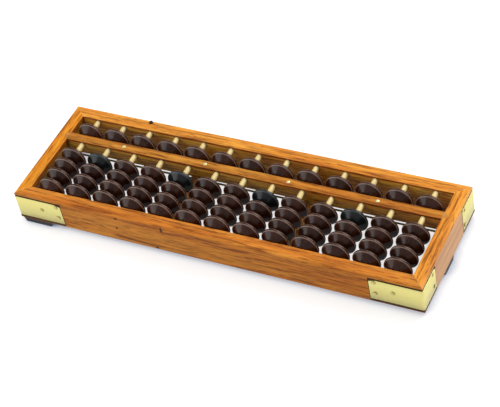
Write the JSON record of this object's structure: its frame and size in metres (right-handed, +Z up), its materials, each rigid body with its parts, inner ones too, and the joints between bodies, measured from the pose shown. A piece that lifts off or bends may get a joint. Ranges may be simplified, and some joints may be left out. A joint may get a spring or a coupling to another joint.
{
  "type": "abacus",
  "caption": "Desk abacus: mitred wooden frame with a crossbeam, bamboo rods, sliding two-cone beads above and below the beam, brass corner plates and small feet.",
  "frame": {"origin": "middle of the frame seen from above, on the surface that the feet stand on", "axes": "+X along the length to the user's right, +Y away from the user, from the earth beads to the heaven beads, +Z up"},
  "size_m": [0.3008, 0.093, 0.0328],
  "materials": {
    "frame_wood": "orange-brown hardwood with dark lengthwise grain, glossy clear varnish, worn pale at the edges",
    "batten_wood": "plain orange-brown wood, thinner varnish than the rails",
    "bamboo": "pale cream bamboo, polished by the beads, fine lengthwise fibres",
    "bead_wood": "very dark brown polished hardwood, turned, soft gloss",
    "marker_wood": "black stained polished hardwood, turned, soft gloss",
    "brass": "pale yellow sheet brass, lightly brushed, small dents around the nails",
    "brass_wire": "dull drawn brass wire",
    "foot_rubber": "black rubber, matt with scuffed lower edges",
    "dark_iron": "blackened iron"
  },
  "bodies": {
    "frame": {"front_rail": "frame_wood", "rear_rail": "frame_wood", "left_rail": "frame_wood", "right_rail": "frame_wood", "crossbeam": "frame_wood", "batten_left": "batten_wood", "batten_right": "batten_wood", "rod_01": "bamboo", "rod_02": "bamboo", "rod_03": "bamboo", "rod_04": "bamboo", "rod_05": "bamboo", "rod_06": "bamboo", "rod_07": "bamboo", "rod_08": "bamboo", "rod_09": "bamboo", "rod_10": "bamboo", "rod_11": "bamboo", "rod_12": "bamboo", "rod_13": "bamboo", "corner_plate_front_left": "brass", "corner_plate_front_right": "brass", "corner_plate_rear_right": "brass", "corner_plate_rear_left": "brass", "foot_front_left": "foot_rubber", "foot_rear_left": "foot_rubber", "foot_right": "foot_rubber", "beam_wire": "brass_wire", "rear_peg": "dark_iron"},
    "heaven_01": {"heaven_bead_01": "bead_wood"},
    "heaven_02": {"heaven_bead_02": "bead_wood"},
    "heaven_03": {"heaven_bead_03": "bead_wood"},
    "heaven_04": {"heaven_bead_04": "bead_wood"},
    "heaven_05": {"heaven_bead_05": "bead_wood"},
    "heaven_06": {"heaven_bead_06": "bead_wood"},
    "heaven_07": {"heaven_bead_07": "bead_wood"},
    "heaven_08": {"heaven_bead_08": "bead_wood"},
    "heaven_09": {"heaven_bead_09": "bead_wood"},
    "heaven_10": {"heaven_bead_10": "bead_wood"},
    "heaven_11": {"heaven_bead_11": "bead_wood"},
    "heaven_12": {"heaven_bead_12": "bead_wood"},
    "heaven_13": {"heaven_bead_13": "bead_wood"},
    "earth_01": {"earth_beads_01": "bead_wood"},
    "earth_02": {"earth_beads_02": "bead_wood"},
    "earth_03": {"earth_beads_03": "bead_wood"},
    "earth_04": {"earth_beads_04": "bead_wood"},
    "earth_05": {"earth_beads_05": "bead_wood"},
    "earth_06": {"earth_beads_06": "bead_wood"},
    "earth_07": {"earth_beads_07": "bead_wood"},
    "earth_08": {"earth_beads_08": "bead_wood"},
    "earth_09": {"earth_beads_09": "bead_wood"},
    "earth_10": {"earth_beads_10": "bead_wood"},
    "earth_11": {"earth_beads_11": "bead_wood"},
    "earth_12": {"earth_beads_12": "bead_wood"},
    "earth_13": {"earth_beads_13": "bead_wood"},
    "marker_02": {"marker_bead_02": "marker_wood"},
    "marker_05": {"marker_bead_05": "marker_wood"},
    "marker_08": {"marker_bead_08": "marker_wood"},
    "marker_11": {"marker_bead_11": "marker_wood"}
  },
  "joints": [
    {"name": "heaven_01_slide", "type": "slide", "parent": "frame", "child": "heaven_01", "axis": [0, 1, 0], "range_m": [0, 0.0062]},
    {"name": "heaven_02_slide", "type": "slide", "parent": "frame", "child": "heaven_02", "axis": [0, 1, 0], "range_m": [0, 0.0062]},
    {"name": "heaven_03_slide", "type": "slide", "parent": "frame", "child": "heaven_03", "axis": [0, 1, 0], "range_m": [0, 0.0062]},
    {"name": "heaven_04_slide", "type": "slide", "parent": "frame", "child": "heaven_04", "axis": [0, 1, 0], "range_m": [0, 0.0062]},
    {"name": "heaven_05_slide", "type": "slide", "parent": "frame", "child": "heaven_05", "axis": [0, 1, 0], "range_m": [0, 0.0062]},
    {"name": "heaven_06_slide", "type": "slide", "parent": "frame", "child": "heaven_06", "axis": [0, 1, 0], "range_m": [0, 0.0062]},
    {"name": "heaven_07_slide", "type": "slide", "parent": "frame", "child": "heaven_07", "axis": [0, 1, 0], "range_m": [0, 0.0062]},
    {"name": "heaven_08_slide", "type": "slide", "parent": "frame", "child": "heaven_08", "axis": [0, 1, 0], "range_m": [0, 0.0062]},
    {"name": "heaven_09_slide", "type": "slide", "parent": "frame", "child": "heaven_09", "axis": [0, 1, 0], "range_m": [0, 0.0062]},
    {"name": "heaven_10_slide", "type": "slide", "parent": "frame", "child": "heaven_10", "axis": [0, 1, 0], "range_m": [0, 0.0062]},
    {"name": "heaven_11_slide", "type": "slide", "parent": "frame", "child": "heaven_11", "axis": [0, 1, 0], "range_m": [0, 0.0062]},
    {"name": "heaven_12_slide", "type": "slide", "parent": "frame", "child": "heaven_12", "axis": [0, 1, 0], "range_m": [0, 0.0062]},
    {"name": "heaven_13_slide", "type": "slide", "parent": "frame", "child": "heaven_13", "axis": [0, 1, 0], "range_m": [0, 0.0062]},
    {"name": "earth_01_slide", "type": "slide", "parent": "frame", "child": "earth_01", "axis": [0, 1, 0], "range_m": [0, 0.0076]},
    {"name": "earth_02_slide", "type": "slide", "parent": "frame", "child": "earth_02", "axis": [0, 1, 0], "range_m": [0, 0.0076]},
    {"name": "earth_03_slide", "type": "slide", "parent": "frame", "child": "earth_03", "axis": [0, 1, 0], "range_m": [0, 0.0076]},
    {"name": "earth_04_slide", "type": "slide", "parent": "frame", "child": "earth_04", "axis": [0, 1, 0], "range_m": [0, 0.0076]},
    {"name": "earth_05_slide", "type": "slide", "parent": "frame", "child": "earth_05", "axis": [0, 1, 0], "range_m": [0, 0.0076]},
    {"name": "earth_06_slide", "type": "slide", "parent": "frame", "child": "earth_06", "axis": [0, 1, 0], "range_m": [0, 0.0076]},
    {"name": "earth_07_slide", "type": "slide", "parent": "frame", "child": "earth_07", "axis": [0, 1, 0], "range_m": [0, 0.0076]},
    {"name": "earth_08_slide", "type": "slide", "parent": "frame", "child": "earth_08", "axis": [0, 1, 0], "range_m": [0, 0.0076]},
    {"name": "earth_09_slide", "type": "slide", "parent": "frame", "child": "earth_09", "axis": [0, 1, 0], "range_m": [0, 0.0076]},
    {"name": "earth_10_slide", "type": "slide", "parent": "frame", "child": "earth_10", "axis": [0, 1, 0], "range_m": [0, 0.0076]},
    {"name": "earth_11_slide", "type": "slide", "parent": "frame", "child": "earth_11", "axis": [0, 1, 0], "range_m": [0, 0.0076]},
    {"name": "earth_12_slide", "type": "slide", "parent": "frame", "child": "earth_12", "axis": [0, 1, 0], "range_m": [0, 0.0076]},
    {"name": "earth_13_slide", "type": "slide", "parent": "frame", "child": "earth_13", "axis": [0, 1, 0], "range_m": [0, 0.0076]},
    {"name": "marker_02_slide", "type": "slide", "parent": "earth_02", "child": "marker_02", "axis": [0, -1, 0], "range_m": [-0.0076, 0]},
    {"name": "marker_05_slide", "type": "slide", "parent": "earth_05", "child": "marker_05", "axis": [0, -1, 0], "range_m": [-0.0076, 0]},
    {"name": "marker_08_slide", "type": "slide", "parent": "earth_08", "child": "marker_08", "axis": [0, -1, 0], "range_m": [-0.0076, 0]},
    {"name": "marker_11_slide", "type": "slide", "parent": "earth_11", "child": "marker_11", "axis": [0, -1, 0], "range_m": [-0.0076, 0]}
  ]
}
